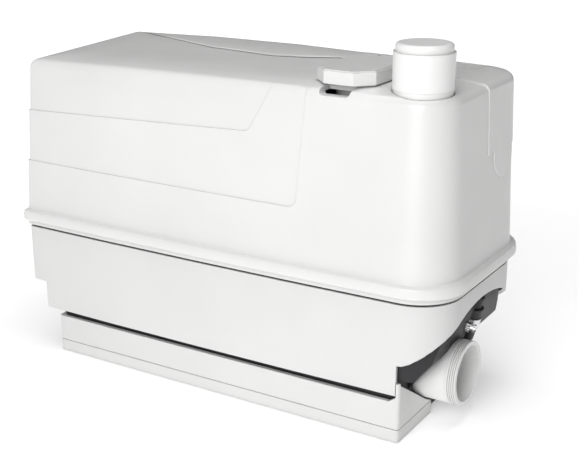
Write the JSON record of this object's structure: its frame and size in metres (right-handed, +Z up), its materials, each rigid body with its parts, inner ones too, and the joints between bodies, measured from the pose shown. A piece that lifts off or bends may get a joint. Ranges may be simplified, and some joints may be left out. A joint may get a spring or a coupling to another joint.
{
  "type": "sewage lifting pump",
  "caption": "Compact floor-standing sewage lifting pump: white drafted cover, arched tank shell, end inlet spigot, capped upright discharge tube and hinged vent lid.",
  "frame": {"origin": "centre of the pump's footprint, on the floor", "axes": "+X along the pump towards its inlet spigot, -Y towards its long front face, +Z up"},
  "size_m": [0.39, 0.169, 0.29],
  "materials": {
    "white_cover": "satin",
    "white_tank": "satin",
    "dark_tank": "matte",
    "black_rubber": "matte",
    "hose_rubber": "satin",
    "clip_steel": "polished",
    "steel": "satin",
    "pipe_plastic": "satin",
    "pump_plastic": "satin",
    "casing_grey": "satin",
    "impeller_plastic": "satin",
    "seal_ceramic": "polished",
    "seal_black": "satin",
    "motor_aluminium": "cast",
    "lamination": "matte",
    "copper": "enamelled",
    "cowl_paint": "satin",
    "filter_charcoal": "matte",
    "box_grey": "matte",
    "capacitor_can": "satin"
  },
  "bodies": {
    "housing": {"foot_pads": "black_rubber", "base_plate": "white_tank", "base_skirt": "white_tank", "inner_tank": "dark_tank", "tank_shell": "white_tank", "tank_seal": "black_rubber", "machine_deck": "white_tank", "main_cover": "white_cover", "vent_seat": "pipe_plastic", "lid_hinge_pin": "steel", "vent_filter": "filter_charcoal", "vent_pipe": "pipe_plastic", "inlet_spigot": "white_tank", "inlet_flap_pin": "steel", "left_spigot": "white_tank", "left_blanking_cap": "black_rubber", "breather_hose": "hose_rubber", "hose_clips": "clip_steel", "clip_screws": "clip_steel", "pump_casing": "pump_plastic", "casing_cover": "casing_grey", "suction_plate": "pump_plastic", "seal_seat": "seal_ceramic", "pump_column": "pipe_plastic", "motor_flange": "motor_aluminium", "lower_bearing": "steel", "stator_housing": "motor_aluminium", "stator_core": "lamination", "stator_winding": "copper", "motor_end_shield": "motor_aluminium", "upper_bearing": "steel", "fan_cowl": "cowl_paint", "motor_bolts": "steel", "riser_pipe": "pipe_plastic", "valve_body": "pipe_plastic", "valve_pin": "steel", "valve_cap": "pipe_plastic", "discharge_pipe": "pipe_plastic", "discharge_tube": "white_cover", "level_switch": "pipe_plastic", "pressure_bell": "pipe_plastic", "control_box": "box_grey", "capacitor": "capacitor_can", "cable_grommet": "black_rubber"},
    "rotor": {"motor_shaft": "steel", "rotor_core": "lamination", "cooling_fan": "pump_plastic", "impeller": "impeller_plastic", "impeller_nut": "steel", "seal_head": "seal_black"},
    "check_flap": {"valve_flap": "black_rubber"},
    "inlet_flap_body": {"inlet_flap": "black_rubber"},
    "lid": {"vent_lid": "white_cover", "lid_gasket": "black_rubber"},
    "cap": {"tube_cap": "white_cover"},
    "plunger": {"switch_plunger": "pump_plastic"}
  },
  "joints": [
    {"name": "rotor_spin", "type": "hinge", "parent": "housing", "child": "rotor", "pos_m": [-0.085, 0, 0.1], "axis": [0, 0, 1], "continuous": true},
    {"name": "check_flap_swing", "type": "hinge", "parent": "housing", "child": "check_flap", "pos_m": [-0.0365, -0.033, 0.13025], "axis": [0, -1, 0], "range_deg": [0, 70]},
    {"name": "inlet_flap_swing", "type": "hinge", "parent": "housing", "child": "inlet_flap_body", "pos_m": [0.1375, -0.02, 0.0655], "axis": [0, 1, 0], "range_deg": [0, 60]},
    {"name": "lid_swing", "type": "hinge", "parent": "housing", "child": "lid", "pos_m": [0.1, 0.0086, 0.2632], "axis": [-1, 0, 0], "range_deg": [0, 100]},
    {"name": "cap_pull", "type": "slide", "parent": "housing", "child": "cap", "axis": [0, 0, 1], "range_m": [0, 0.02]},
    {"name": "plunger_rise", "type": "slide", "parent": "housing", "child": "plunger", "axis": [0, 0, 1], "range_m": [0, 0.002], "stiffness_N_per_m": 60, "springref_m": -0.002}
  ]
}
